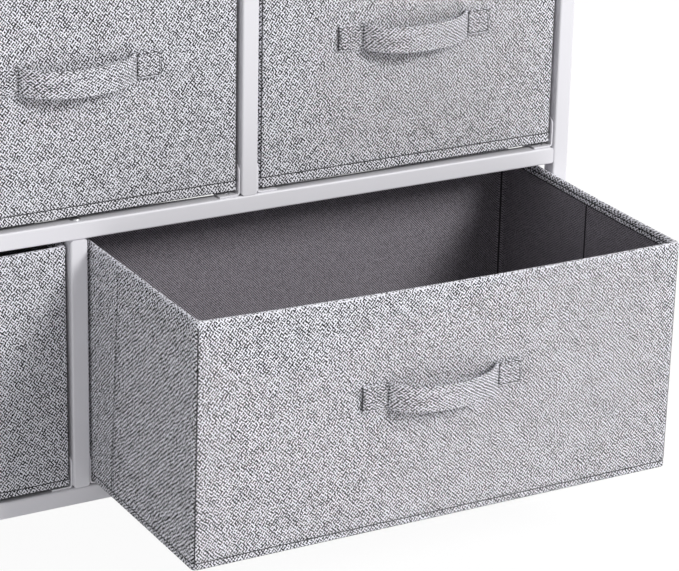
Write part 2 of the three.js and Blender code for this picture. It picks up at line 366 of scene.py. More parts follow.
def fabric_material(name, looks, balance=0.5, mid_tone=1.0, light_tone=1.0):
    """Heathered grey fabric: short light and dark strokes along both diagonals, and specks.

    A lower balance leaves fewer dark strokes. The tones darken the ground and the light strokes.
    """
    size = (looks.stroke_width, looks.stroke_length)
    faintest, speck_share = 0.38, 0.2
    shader = Shader(name)
    point = shader.point("UV")
    u, v, _ = shader.split(point)
    fine_u, fine_v = wander(shader, u, v, 300.0, 0.4 * MM, (0.0, 0.37))
    slow_u, slow_v = wander(shader, u, v, 110.0, 2.8 * MM, (0.71, 0.93))
    u, v = u + fine_u + slow_u, v + fine_v + slow_v
    falling = stroke_layer(shader, (u, v), math.radians(-45), size, faintest, 3.0)
    rising = stroke_layer(shader, (u, v), math.radians(54), size, faintest, 7.0)
    patch = shader.step(shader.noise(point, 1.0 / looks.stroke_patch, 1.0), 0.47, 0.53)
    strokes = falling * patch + rising * (1.0 - patch)
    speck_scale = 1.0 / looks.speck_size
    speck = shader.random((u * speck_scale).floor(), (v * speck_scale).floor(), 5.0)
    tone = strokes * (1.0 - speck_share) + speck * speck_share
    stops = [
        (balance - 0.05, looks.fabric_dark),
        (balance, toned(looks.fabric_mid, mid_tone)),
        (balance + 0.04, toned(looks.fabric_light, light_tone)),
    ]
    return shader.finished(
        Base_Color=shader.ramp(tone, stops),
        Roughness=0.93,
        Sheen_Weight=0.05,
        Specular_IOR_Level=0.15,
        Normal=shader.bump(tone, 0.2, 0.25 * MM),
    )


def panel_fabric(name, looks):
    """The fabric of the walls and the handles."""
    return fabric_material(name, looks)


def edge_highlight_fabric(name, looks):
    """Painted highlight: the fabric made paler where light catches the rolled rims and the inner
    band.
    """
    return fabric_material(name, looks, balance=0.38)


def pale_highlight_fabric(name, looks):
    """Painted highlight: the fabric with few dark strokes left, on the crest of a rim and on a
    strap's lower edge, where light catches them.
    """
    return fabric_material(name, looks, balance=0.28)


def fold_shade_fabric(name, looks):
    """Painted shade: the fabric made a little darker beside the fold of a side wall."""
    return fabric_material(name, looks, mid_tone=0.55, light_tone=0.55)


def crease_shade_fabric(name, looks):
    """Painted shade: the fabric made darkest in sewn creases, seam grooves, under the drawer and at
    the strap's ends.
    """
    return fabric_material(name, looks, mid_tone=0.12, light_tone=0.16)


def lining_material(name, looks):
    """Dark non-woven lining with a fine embossed grid that runs along both diagonals."""
    size = (looks.lining_line, looks.lining_dash)
    faintest, falling_share = 0.25, 0.62
    shader = Shader(name)
    point = shader.point("UV")
    u, v, _ = shader.split(point)
    falling = stroke_layer(shader, (u, v), math.radians(-45), size, faintest, 3.0)
    rising = stroke_layer(shader, (u, v), math.radians(45), size, faintest, 7.0)
    grid = falling * falling_share + rising * (1.0 - falling_share)
    mottle = shader.noise(point, 70.0, 3.0, 0.6)
    dark, light = toned(looks.lining, 0.12), toned(looks.lining, 2.2)
    embossed = shader.ramp(grid, [(0.3, dark), (0.5, looks.lining), (0.7, light)])
    return shader.finished(
        Base_Color=shader.mix(mottle * 0.5, embossed, toned(looks.lining, 0.8)),
        Roughness=0.9,
        Specular_IOR_Level=0.25,
        Normal=shader.bump(grid, 0.4, 0.2 * MM),
    )


def lining_shade_material(name, looks):
    """Painted shade: dark cloth in the lining's colour for the inner band's foot and the lining's
    folds and corners, where little light reaches.
    """
    shader = Shader(name)
    mottle = shader.noise(shader.point(), 300.0, 3.0, 0.6)
    shade, deep = toned(looks.lining, 0.3), toned(looks.lining, 0.12)
    tint = shader.mix(mottle, shade, deep)
    return shader.finished(Base_Color=tint, Roughness=0.95, Specular_IOR_Level=0.1)


def thread_material(name, looks):
    """Twisted sewing thread."""
    shader = Shader(name)
    twist = shader.noise(shader.point(), 1500.0, 1.0)
    return shader.finished(Base_Color=shader.shaded(twist, looks.thread, 2.0), Roughness=0.8)


def paint_material(name, looks):
    """Satin white powder coat with a very fine orange peel and a trace of handling marks."""
    shader = Shader(name)
    point = shader.point()
    peel = shader.noise(point, 900.0, 2.0)
    cloud = shader.noise(point, 14.0, 3.0, 0.6)
    return shader.finished(
        Base_Color=shader.shaded(cloud, looks.paint, 0.975),
        Roughness=0.34 + cloud * 0.12,
        Specular_IOR_Level=0.4,
        Normal=shader.bump(peel, 0.12, 0.15 * MM),
    )


def laminate_material(name, looks):
    """White laminate with a faint long grain."""
    stretch = 0.06
    shader = Shader(name)
    x, y, z = shader.split(shader.point())
    grain = shader.noise(shader.vector(x * stretch, y, z), 240.0, 4.0, 0.65)
    line = shader.step(grain, 0.5, 0.72)
    return shader.finished(
        Base_Color=shader.shaded(line * 0.6, looks.laminate, 0.93),
        Roughness=0.62 + line * 0.12,
        Specular_IOR_Level=0.2,
        Normal=shader.bump(grain, 0.1, 0.2 * MM),
    )


def plastic_material(name, looks):
    """Black moulded plastic with a fine matt grain."""
    shader = Shader(name)
    point = shader.point()
    grain = shader.noise(point, 1400.0, 2.0)
    worn = shader.noise(point, 60.0, 3.0)
    return shader.finished(
        Base_Color=shader.shaded(worn, looks.plastic, 1.8),
        Roughness=0.45 + worn * 0.2,
        Normal=shader.bump(grain, 0.2, 0.1 * MM),
    )


def zinc_material(name, looks):
    """Bright zinc plating with faint brushing."""
    shader = Shader(name)
    spangle = shader.noise(shader.point(), 700.0, 3.0)
    return shader.finished(
        Base_Color=shader.shaded(spangle, looks.zinc, 0.8),
        Metallic=0.9,
        Roughness=0.28 + spangle * 0.2,
    )


def find_materials():
    """The finishes, made once and shared by the pieces."""
    makers = {
        "panel": ("heathered_fabric", panel_fabric),
        "edge": ("heathered_fabric_edge", edge_highlight_fabric),
        "pale": ("heathered_fabric_pale", pale_highlight_fabric),
        "fold": ("heathered_fabric_fold", fold_shade_fabric),
        "crease": ("heathered_fabric_crease", crease_shade_fabric),
        "lining": ("nonwoven_lining", lining_material),
        "lining_crease": ("nonwoven_lining_crease", lining_shade_material),
        "thread": ("sewing_thread", thread_material),
        "paint": ("white_powder_coat", paint_material),
        "laminate": ("white_laminate", laminate_material),
        "plastic": ("black_plastic", plastic_material),
        "zinc": ("zinc_plating", zinc_material),
    }
    looks = bpy.context.scene.dresser_looks
    return {
        key: bpy.data.materials.get(name) or maker(name, looks)
        for key, (name, maker) in makers.items()
    }


# Meshes


def placed(made, body, slot, *replaced):
    """Ties a finished piece to its body and hides the CAD nodes that it stands for."""
    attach(made, body)
    if replaced:
        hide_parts(*replaced)
    return made


def distances(points):
    """How far along a line each of its points lies."""
    return np.cumsum([0.0] + [math.dist(a, b) for a, b in zip(points, points[1:])])


class Skin:
    """Collects points, faces, texture coordinates and finishes for one smooth mesh."""

    def __init__(self):
        self.points = []
        self.faces = []
        self.texture = []
        self.finishes = []

    def add_points(self, points):
        start = len(self.points)
        self.points.extend(points)
        return start

    def face(self, corners, texture, finish=0):
        """Adds a face, with a (u, v) pair for each of its corners."""
        self.faces.append(tuple(corners))
        self.texture.extend(texture)
        self.finishes.append(finish)

    def loft(self, rings, along, across, finish=None):
        """Quads between closed rings of points. Returns the number of each ring's first point.

        along is the position round a ring and across that of each ring. finish gives the number
        of a face's material from its ring and its column.
        """
        count = len(rings[0])
        starts = [self.add_points(ring) for ring in rings]
        for i in range(len(rings) - 1):
            low, high = across[i], across[i + 1]
            for j in range(count):
                k = (j + 1) % count
                left, right = along[j], along[j + 1]
                corners = (starts[i] + j, starts[i] + k, starts[i + 1] + k, starts[i + 1] + j)
                texture = ((left, low), (right, low), (right, high), (left, high))
                self.face(corners, texture, finish(i, j) if finish else 0)
        return starts

    def cap(self, start, ring, reverse, finish=0):
        """Closes a ring with one flat face."""
        order = list(range(len(ring)))
        if reverse:
            order.reverse()
        self.face([start + i for i in order], [ring[i][:2] for i in order], finish)

    def build(self, name, materials):
        """Makes the mesh object."""
        mesh = bpy.data.meshes.new(name)
        mesh.from_pydata([tuple(point) for point in self.points], [], self.faces)
        layer = mesh.uv_layers.new(name="cloth")
        layer.data.foreach_set("uv", np.asarray(self.texture, float).ravel())
        for material in materials:
            mesh.materials.append(material)
        mesh.polygons.foreach_set("material_index", self.finishes)
        mesh.polygons.foreach_set("use_smooth", [True] * len(mesh.polygons))
        mesh.update()
        made = bpy.data.objects.new(name, mesh)
        bpy.context.scene.collection.objects.link(made)
        return made


# Shape of a drawer


class Plan:
    """The rounded rectangle of a drawer, seen from above, as rings that have the same columns."""

    ARC_STEPS = 6  # columns round a corner
    EDGE_SPACING = 9 * MM  # from one column to the next on a straight edge
    FEWEST_STEPS = 4
    FOLD_BESIDE = 1.3 * MM  # from the fold to the columns beside it
    SIDE_CLOTH = 0.66  # share of a side's length that its texture coordinates cover
    INNER_FROM = 2.5 * MM  # the corners turn to the inner radius from here to twice this inset
    LEAST_RADIUS = 0.6 * MM

    def __init__(self, width, depth, radius, inner_radius):
        self.half = (width / 2, depth / 2)
        self.radius = radius
        self.inner_radius = inner_radius
        self.along_x = self.fractions(width, False)
        self.along_y = self.fractions(depth, True)
        ring = self.ring(0.0)
        step = np.roll(ring, -1, axis=0) - ring
        step = np.hypot(step[:, 0], step[:, 1] * self.SIDE_CLOTH)
        self.length = np.concatenate([[0.0], np.cumsum(step)])

    def fractions(self, size, folded):
        """Shares of a straight edge at which a column stands, closer together beside a fold."""
        count = max(self.FEWEST_STEPS, round(size / self.EDGE_SPACING))
        count += count % 2
        shares = [i / count for i in range(1, count)]
        if folded:
            beside = self.FOLD_BESIDE / size
            shares += [0.5 - beside, 0.5 + beside]
        return sorted(shares)

    def ring(self, inset):
        """Points of the outline moved inwards by an inset, starting at the middle of the back."""
        half_x, half_y = self.half[0] - inset, self.half[1] - inset
        within = clamp(inset / self.INNER_FROM - 1)
        radius = max(self.radius - inset, self.LEAST_RADIUS, self.inner_radius * within)
        arcs = []
        for side, end, start in ((-1, 1, 90), (-1, -1, 180), (1, -1, 270), (1, 1, 0)):
            x, y = side * (half_x - radius), end * (half_y - radius)
            turns = range(self.ARC_STEPS + 1)
            angles = [math.radians(start + 90 * i / self.ARC_STEPS) for i in turns]
            arcs.append([(x + radius * math.cos(a), y + radius * math.sin(a)) for a in angles])
        points = []
        edges = (self.along_y, self.along_x, self.along_y, self.along_x)
        for arc, following, edge in zip(arcs, arcs[1:] + arcs[:1], edges):
            (x, y), (next_x, next_y) = arc[-1], following[0]
            points += arc + [(lerp(x, next_x, t), lerp(y, next_y, t)) for t in edge]
        # Before the middle of the back come the corners, both sides, the front and half the back
        turn = 4 * (self.ARC_STEPS + 1) + 2 * len(self.along_y) + len(self.along_x)
        return np.roll(np.array(points), -turn - len(self.along_x) // 2, axis=0)

    def nearest(self, x, y):
        """Number of the column nearest to a place on the outline."""
        ring = self.ring(0.0)
        return int(np.argmin(np.hypot(ring[:, 0] - x, ring[:, 1] - y)))

    def fold_columns(self):
        """Columns just before the middle of each side, where the walls fold."""
        half_x = self.half[0]
        return {self.nearest(-half_x, self.FOLD_BESIDE), self.nearest(half_x, -self.FOLD_BESIDE)}

    def corner_columns(self):
        """Columns in the middle of each rounded corner."""
        x, y = (half - self.radius * (1 - math.sqrt(0.5)) for half in self.half)
        return [self.nearest(side * x, end * y) for side in (-1, 1) for end in (-1, 1)]


class Drawer:
    """Place, size and soft shape of one drawer.

    Points are made in the drawer's own frame, centred on its floor, and then shaped and placed.
    """

    # How the soft boxes sit in the photograph: offsets of the front's corners in millimetres,
    # each for a corner of FRONT_CORNERS, which gives (side, level) as -1 for left and bottom
    FRONT_CORNERS = ((-1, 1), (1, 1), (-1, -1), (1, -1))
    FRONT_OFFSETS = {
        "lower_right_drawer": ((-0.6, -8, 3.4), (0.3, -8, -2.5), (0, -0.6, 4.6), (0.5, -5.1, 6.3)),
        "lower_left_drawer": ((0, -3.0, 0), (1.6, -3.0, 0), (0, -6.0, 0), (0.5, -6.5, 0.8)),
        "upper_left_drawer": ((0, -4.0, 0), (0, -4.5, 0), (0, -4.0, 0.5), (0, -4.5, 2.0)),
        "upper_middle_drawer": ((0, -4.5, 0), (0.5, -4.5, 0), (0, -4.5, 1.2), (0.5, -4.5, 2.8)),
        "upper_right_drawer": ((0.5, -4.5, 0), (1.0, -4.5, 0), (0.5, -4.5, 1.5), (0.5, -4.5, 2.6)),
    }

    # How far the handles are sewn off their middle, in millimetres, as (across, up)
    HANDLE_SHIFT = {
        "lower_right_drawer": (-3.2, 1.5),
        "lower_left_drawer": (-0.2, 0.5),
        "upper_left_drawer": (-2.0, 0.0),
        "upper_middle_drawer": (0.8, 1.0),
        "upper_right_drawer": (1.4, 1.0),
    }

    # How far the folds of the side walls lie behind the middle, in millimetres, by side, as
    # (bottom, top)
    FOLD_SLIP = {"lower_right_drawer": {-1: (23.9, 8.7), 1: (-8.5, -8.5)}}
    NO_SLIP = {-1: (0.0, 0.0), 1: (0.0, 0.0)}

    # The higher a grip, the nearer to its own wall a move stays
    FRONT_GRIP = 8
    SIDE_GRIP = {"upper": 10, "lower": 16}
    SLACK_TOP = 0.88  # share of half a wave of slack that the height of a wall covers
    FOLD_AT_FOOT = 0.25  # share of the fold's depth at the foot
    FOLD_FULLNESS = 0.3  # the lower, the more of a wall's height has its fold's whole depth
    WAVES = (11, 9)  # slow waves per metre, along and up a wall
    WAVE_SEEDS = (1.7, 7.3)  # of the first drawer, and from one drawer to the next
    SIDE_SEED = 5  # from the waves of the front and back to those of the sides

    def __init__(self, row, bay):
        self.sizes = sizes = bpy.context.scene.dresser_drawers
        self.body = f"{row}_{bay}_drawer"
        self.low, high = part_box(f"{self.body}_box")
        self.size = high - self.low
        self.centre = (self.low + high) / 2
        self.plan = Plan(self.size.x, self.size.y, sizes.corner_radius, sizes.inner_radius)
        self.height = self.size.z
        first_seed, next_seed = self.WAVE_SEEDS
        self.seed = next_seed * BAYS.index((row, bay)) + first_seed
        self.sag, self.hem = {
            "lower": (sizes.wide_sag, sizes.wide_hem),
            "upper": (sizes.small_sag, sizes.small_hem),
        }[row]
        self.side_grip = self.SIDE_GRIP[row]
        self.offsets = self.FRONT_OFFSETS[self.body]
        self.slip = self.FOLD_SLIP.get(self.body, self.NO_SLIP)

    def handle_place(self):
        """Middle of the handle in the drawer's own frame, as (across, up)."""
        low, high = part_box(f"{self.body}_handle")
        across, up = self.HANDLE_SHIFT[self.body]
        return across * MM, (low.z + high.z) / 2 - self.low.z + up * MM

    def shaped(self, points):
        """Moves points of the drawer's own frame to their soft places in the row frame."""
        floor = Vector((self.centre.x, self.centre.y, self.low.z))
        return [self.soft_place(*point) + floor for point in points]

    def soft_place(self, x, y, z):
        """Where a point of the stiff box comes to lie in the soft one."""
        sizes = self.sizes
        across, back, up = x / self.plan.half[0], y / self.plan.half[1], z / self.height
        on_front = clamp(abs(back)) ** self.FRONT_GRIP
        on_side = clamp(abs(across)) ** self.side_grip
        by_fold = max(0.0, 1 - abs(back)) * on_side
        middle_x = max(0.0, 1 - across * across)
        middle_y = max(0.0, 1 - back * back)
        lift = clamp(up) ** 2
        slack = max(0.0, math.sin(math.pi * clamp(up * self.SLACK_TOP)))
        drop = self.sag * middle_x * on_front + sizes.side_sag * middle_y * on_side
        bow = sizes.bow * middle_x * on_front * slack
        depth = sizes.fold * by_fold * lerp(self.FOLD_AT_FOOT, 1.0, lift)
        fold = depth * slack ** self.FOLD_FULLNESS
        slip = lerp(*self.slip[-1 if x < 0 else 1], up) * MM * by_fold
        wave_x = self.wave(x, z, self.seed + back) * on_front * slack
        wave_y = self.wave(y, z, self.seed + self.SIDE_SEED + across) * on_side * slack
        new_x = x - math.copysign(fold, x) + wave_y
        new_y = y - math.copysign(bow, y) + wave_x + slip
        return Vector((new_x, new_y, z - drop * lift)) + self.front_offset(across, back, up)

    def wave(self, along, up, seed):
        """Height of the slow waves at a place of a wall."""
        place = Vector((along * self.WAVES[0], up * self.WAVES[1], seed))
        return noise.noise(place) * self.sizes.wrinkle

    def front_offset(self, across, back, up):
        """Blend of the offsets of the front's corners, which fades out towards the back."""
        total = Vector((0.0, 0.0, 0.0))
        for (side, level), offset in zip(self.FRONT_CORNERS, self.offsets):
            weight = (1 + side * across) / 2 * (1 - back) / 2 * (up if level > 0 else 1 - up)
            total += Vector(offset) * weight * MM
        return total


# Numbers of the fabric finishes in a shell or a handle: the plain panel, and the same fabric with a
# painted highlight (edge, pale) or painted shade (crease, deep, fold)
PANEL, EDGE_HIGHLIGHT, CREASE_SHADE, PALE_HIGHLIGHT, DEEP_SHADE, FOLD_SHADE = range(6)

# Runs of the fabric skin in millimetres, as (inset, height in the run, finish from there on)
# Painted shade: the underside and the lowest millimetre of the walls are dark, for the shadow line
# under each drawer
TURNED_UNDER = (
    (14.0, 0.3, CREASE_SHADE),
    (5.0, 0.05, CREASE_SHADE),
    (1.5, 0.05, CREASE_SHADE),
    (0.55, 0.4, CREASE_SHADE),
    (0.12, 1.0, PANEL),
    (0.0, 2.0, PANEL),
)
# Painted shade in the hem's groove
HEM_SEAM = (
    (0.0, -1.7, PANEL),
    (0.2, -0.5, CREASE_SHADE),
    (1.0, 0.0, CREASE_SHADE),
    (0.25, 0.45, PANEL),
    (0.0, 1.6, PANEL),
)
RIM_SEAM = (
    (0.02, -1.3, PANEL),
    (0.35, -0.4, PANEL),
    (0.7, 0.0, PANEL),
    (0.1, 0.9, PANEL),
    (0.0, 2.5, PANEL),
)
# Painted highlight along the rolled rim, palest on its crest
RIM_ROLL = (
    (0.0, -3.2, EDGE_HIGHLIGHT),
    (0.35, -1.5, PALE_HIGHLIGHT),
    (1.2, -0.45, PALE_HIGHLIGHT),
    (2.4, -0.05, PALE_HIGHLIGHT),
    (3.8, -0.35, EDGE_HIGHLIGHT),
    (5.2, -1.4, EDGE_HIGHLIGHT),
    (6.2, -2.8, EDGE_HIGHLIGHT),
)
# Painted shade down in the band's seam groove, and a painted highlight on the band below it
BAND_SEAM = (
    (6.5, -3.7, PANEL),
    (6.0, -4.2, CREASE_SHADE),
    (5.3, -5.0, CREASE_SHADE),
    (5.5, -5.5, PANEL),
    (6.3, -6.1, EDGE_HIGHLIGHT),
    (6.7, -7.0, EDGE_HIGHLIGHT),
)
# Painted shade on the foot of the inner band, in the lining's colour
BAND_FOOT = ((6.7, 1.5, DEEP_SHADE), (6.3, 0.3, DEEP_SHADE), (5.2, 0.0, DEEP_SHADE))

FLOOR_INSET = 14 * MM  # how far the cloth and the lining reach in under and over the floor
WALL_STEPS = 14  # rings up a wall
LINING_GAP = 0.15 * MM  # between the wall and the lining


def run(rows, height=0.0):
    """Rows of a run in metres, from the height at which it starts."""
    return [(inset * MM, height + up * MM, finish) for inset, up, finish in rows]


def upright(inset, start, end):
    """Evenly spaced steps up a wall."""
    return [(inset, lerp(start, end, i / WALL_STEPS), PANEL) for i in range(WALL_STEPS + 1)]


def plain(points):
    """Steps that all have the first finish."""
    return [(inset, height, PANEL) for inset, height in points]


def wall_profile(height, hem, sizes):
    """Steps of the fabric skin, from the middle of the bottom, up the outside and down inside.

    Each is (inset, height, finish of the strip that starts there).
    """
    wall = sizes.wall
    seam = height - sizes.rim_seam
    foot = height - sizes.band_height
    profile = run(TURNED_UNDER) + run(HEM_SEAM, hem)
    profile += upright(0.0, hem + 6 * MM, seam - 5 * MM)
    profile += run(RIM_SEAM, seam) + run(RIM_ROLL, height) + run(BAND_SEAM, height)
    profile += run(BAND_FOOT, foot) + plain([(wall, foot - 0.1 * MM), (wall, height / 2)])
    return profile + plain([(wall, 3.0 * MM), (FLOOR_INSET, 2.6 * MM)])


def lining_insets(sizes):
    """Insets of the lining's back and of its visible face."""
    back = sizes.wall + LINING_GAP
    return back, back + sizes.lining


def lining_profile(height, sizes):
    """Steps of the lining, from the floor's underside, up behind and down its visible side."""
    back, face = lining_insets(sizes)
    top = height - sizes.band_height - 0.35 * MM
    behind = upright(back, 9 * MM, top - 3 * MM)
    profile = plain([(FLOOR_INSET, 2.8 * MM), (back + 0.5 * MM, 2.8 * MM), (back, 3.4 * MM)])
    profile += behind + plain([(back, top - 0.3 * MM), (back + 0.2 * MM, top)])
    profile += plain([(face - 0.2 * MM, top), (face, top - 0.3 * MM)])
    profile += [(face, level, finish) for _, level, finish in reversed(behind)]
    profile += plain([(face, 5.0 * MM), (face + 0.4 * MM, 3.9 * MM)])
    return profile + plain([(face + 1.2 * MM, 3.25 * MM), (FLOOR_INSET, 3.2 * MM)])


def board_profile(inset, floor, top):
    """Steps round the edge of a wrapped board, with the seam on its upper face."""
    points = [(FLOOR_INSET, floor), (inset + 1.2 * MM, floor), (inset + 0.3 * MM, floor + 0.5 * MM)]
    points += [(inset, floor + 1.4 * MM), (inset + 0.3 * MM, top - 0.5 * MM)]
    points += [(inset + 1.2 * MM, top), (inset + 5 * MM, top), (inset + 5.7 * MM, top - 0.45 * MM)]
    return plain(points + [(inset + 6.4 * MM, top), (inset + 12 * MM, top)])


def inwards(point, by_x, by_y=0.0):
    """A point of a ring moved towards the drawer's middle."""
    x, y, z = point
    return x - math.copysign(by_x, x), y - math.copysign(by_y, y), z


def profile_skin(drawer, profile, groove=0.0, folded=()):
    """A closed skin that follows a profile round the drawer.

    groove is the depth of the sewn groove down each corner. folded holds the numbers of the strips
    of the profile that get painted shade where the side walls fold.
    """
    sewn_inset, sewn_foot, sewn_head = 1.2 * MM, 3 * MM, 8 * MM
    corners, folds = drawer.plan.corner_columns(), drawer.plan.fold_columns()
    by_folds = folds | {column + 1 for column in folds}
    step = groove * math.sqrt(0.5)
    fold = drawer.sizes.fold_groove
    rings, sewn = [], []
    for i, (inset, height, _) in enumerate(profile):
        ring = [(x, y, height) for x, y in drawer.plan.ring(inset)]
        in_reach = inset < sewn_inset and sewn_foot < height < drawer.height - sewn_head
        sewn.append(groove > 0 and in_reach)
        if sewn[i]:
            for column in corners:
                ring[column] = inwards(ring[column], step, step)
            for column in folds:
                ring[column + 1] = inwards(ring[column + 1], fold)
        if i in folded:
            for column in folds:
                ring[column] = inwards(ring[column], fold)
                ring[column + 2] = inwards(ring[column + 2], fold)
        rings.append(ring)

    # Painted shade: the sewn corner grooves and the folds are darker than the panel
    def finish(i, j):
        if (sewn[i] and j in corners) or (i in folded and (j in by_folds or j in corners)):
            return CREASE_SHADE
        if sewn[i] and j in by_folds:
            return FOLD_SHADE
        return profile[i][2]

    skin = Skin()
    across = distances([(inset, height) for inset, height, _ in profile])
    shaped = [drawer.shaped(ring) for ring in rings]
    starts = skin.loft(shaped, drawer.plan.length, across, finish)
    skin.cap(starts[0], rings[0], True)
    skin.cap(starts[-1], rings[-1], False)
    return skin


# Drawer pieces


def fabrics(materials):
    """The fabric finishes in the order of their numbers."""
    return [materials[key] for key in ("panel", "edge", "crease", "pale", "lining_crease", "fold")]


def make_shell(drawer, materials):
    """The outer fabric over its board: hem, rolled rim, inner band and sewn corners."""
    profile = wall_profile(drawer.height, drawer.hem, drawer.sizes)
    skin = profile_skin(drawer, profile, drawer.sizes.corner_groove)
    made = skin.build(f"{drawer.body}_fabric_shell", fabrics(materials))
    return placed(made, drawer.body, "grey_fabric", f"{drawer.body}_box")


def make_lining(drawer, materials):
    """The lining that hangs inside the band."""
    profile = lining_profile(drawer.height, drawer.sizes)
    _, face = lining_insets(drawer.sizes)
    folded = [i for i, (inset, _, _) in enumerate(profile) if inset == face]
    skin = profile_skin(drawer, profile, folded=folded)
    # The lining's folds and corners take painted shade
    finishes = [materials[key] for key in ("lining", "lining", "lining_crease")]
    made = skin.build(f"{drawer.body}_lining", finishes)
    return placed(made, drawer.body, "lining_board")


def make_base_board(drawer, materials):
    """The loose board in the floor, wrapped in lining, with a sewn edge."""
    low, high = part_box(f"{drawer.body}_base_board")
    inset = (drawer.size.x - (high.x - low.x)) / 2 + 0.4 * MM
    floor = low.z - drawer.low.z + 0.15 * MM
    skin = profile_skin(drawer, board_profile(inset, floor, high.z - drawer.low.z))
    made = skin.build(f"{drawer.body}_wrapped_base_board", [materials["lining"]])
    return placed(made, drawer.body, "lining_board", f"{drawer.body}_base_board")


STRAP_GAP = 0.25 * MM  # between the front panel and the strap


def strap_section(height, thickness):
    """Half-round edges, a flat face and a shallow line beside each edge, as (out, up) pairs."""
    half, edge = height / 2, thickness / 2
    line, reach, depth = half - 3.2 * MM, 0.8 * MM, 0.35 * MM
    swell, swell_beside = 0.08 * MM, 0.05 * MM
    turns = [math.pi / 2 * i / 4 for i in range(5)]
    outer = [(edge * math.sin(a), half - edge + edge * math.cos(a)) for a in turns]
    outer += [(edge, line + reach), (edge - depth, line), (edge, line - reach)]
    outer += [(edge + swell_beside, line / 2)]
    front = outer + [(edge + swell, 0.0)] + [(a, -b) for a, b in reversed(outer)]
    behind = [(a, b) for a, b in front[1:-1] if abs(b) <= line + reach or abs(b) > half - edge]
    return front + [(-a, b) for a, b in reversed(behind)]


def strap_path(handle):
    """Positions along the strap as (across, out, down), between the ends' outer edges."""
    half = handle.span / 2
    end = half + handle.pad
    tip = (0.0, 0.5 * MM, 1.6 * MM)
    flat_steps, bow_steps = 6, 36
    flat = [handle.pad * i / flat_steps for i in range(1, flat_steps)]
    places = [-end + step for step in (*tip, *flat)]
    places += [-half * math.cos(math.pi * i / bow_steps) for i in range(bow_steps + 1)]
    places += [half + step for step in flat] + [end - step for step in reversed(tip)]
    path = []
    for x in places:
        part = min(1.0, abs(x) / half)
        # A stiff strap bows out blunter than a parabola and hangs like one
        out = handle.bow * (1 - part ** 3) ** 0.7
        path.append((x, out, handle.sag * (1 - part ** 2)))
    return path


def make_handle(drawer, materials):
    """A folded strap of the same fabric, sewn flat at both ends, bowed and hanging between."""
    handle = bpy.context.scene.dresser_handles
    tip_reach, tip_thickness, tip_height = 1.0 * MM, 0.3, 0.985
    centre_x, centre_z = drawer.handle_place()
    middle = -drawer.size.y / 2 - STRAP_GAP - handle.thickness / 2
    end = handle.span / 2 + handle.pad
    section = strap_section(handle.height, handle.thickness)
    path = strap_path(handle)
    rings = []
    for i, (x, out, down) in enumerate(path):
        before, after = path[max(0, i - 1)], path[min(len(path) - 1, i + 1)]
        turn = math.atan2(after[1] - before[1], after[0] - before[0])
        thin, low = (tip_thickness, tip_height) if end - abs(x) < tip_reach else (1.0, 1.0)
        ring = []
        for a, b in section:
            px = centre_x + x - a * thin * math.sin(turn)
            py = middle - out - a * thin * math.cos(turn)
            ring.append((px, py, centre_z + b * low - down))
        rings.append(ring)
    lowest = -handle.height / 2 + handle.thickness / 2
    lower_edge = [i for i, (a, b) in enumerate(section) if a > 0 and b <= lowest]
    last = len(rings) - 2

    # Painted shade on the strap's ends, and a painted highlight along its lower edge
    def finish(i, j):
        if i in (0, last):
            return CREASE_SHADE
        return PALE_HIGHLIGHT if j in lower_edge else PANEL

    skin = Skin()
    around = distances(section + section[:1])
    starts = skin.loft([drawer.shaped(ring) for ring in rings], around, distances(path), finish)
    flat = [(b, a) for a, b in section]
    skin.cap(starts[0], flat, True, CREASE_SHADE)
    skin.cap(starts[-1], flat, False, CREASE_SHADE)
    made = skin.build(f"{drawer.body}_strap_handle", fabrics(materials))
    return placed(made, drawer.body, "grey_fabric", f"{drawer.body}_handle")


# Sewing


def stitch_run(points, thread):
    """Start and end of each stitch along a line of points."""
    lengths = distances(points)
    total = lengths[-1]
    count = max(1, int(total / thread.pitch))
    stitches = []
    for i in range(count):
        place = (i + 0.5) * total / count
        ends = []
        for shift in (-thread.stitch / 2, thread.stitch / 2):
            at = min(total, max(0.0, place + shift))
            ends.append(Vector([float(np.interp(at, lengths, axis)) for axis in zip(*points)]))
        stitches.append(ends)
    return stitches


def add_stitch(skin, start, end, out, radius):
    """One stitch: a thread between two points, whose ends dip into the cloth."""
    flatness, taper_share = 0.6, 0.16
    side = (end - start).normalized().cross(out).normalized()
    taper = (end - start) * taper_share
    section = [out, side, out * -flatness, side * -1.0]
    rings = [[place + way * radius for way in section] for place in (start + taper, end - taper)]
    dip = out * radius * flatness
    first = skin.add_points([start - dip, *rings[0], *rings[1], end - dip])
    flat = ((0, 0),) * 4
    for i in range(4):
        k = (i + 1) % 4
        skin.face((first, first + 1 + k, first + 1 + i), flat[:3])
        skin.face((first + 1 + i, first + 1 + k, first + 5 + k, first + 5 + i), flat)
        skin.face((first + 9, first + 5 + i, first + 5 + k), flat[:3])


def hem_line(drawer):
    """The seam round the drawer's bottom hem, as a closed line of points."""
    depth = 0.8 * MM
    ring = drawer.plan.ring(depth)
    return [(x, y, drawer.hem) for x, y in np.vstack([ring, ring[:1]])]


def handle_lines(drawer):
    """The seams of the handle: a box with a cross in it on each sewn end."""
    handle = bpy.context.scene.dresser_handles
    lift = 0.02 * MM
    centre_x, centre_z = drawer.handle_place()
    face = -drawer.size.y / 2 - STRAP_GAP - handle.thickness - lift
    inset = handle.stitch_inset
    rise = handle.height / 2 - inset
    top, bottom = centre_z + rise, centre_z - rise
    lines = []
    for side in (-1, 1):
        near = centre_x + side * (handle.span / 2 + inset)
        far = centre_x + side * (handle.span / 2 + handle.pad - inset)
        box = [(near, face, top), (far, face, top), (far, face, bottom), (near, face, bottom)]
        lines += list(zip(box, box[1:] + box[:1]))
        left, right = min(near, far), max(near, far)
        lines.append(((left, face, top), (right, face, bottom)))
        lines.append(((left, face, bottom), (right, face, top)))
    return lines


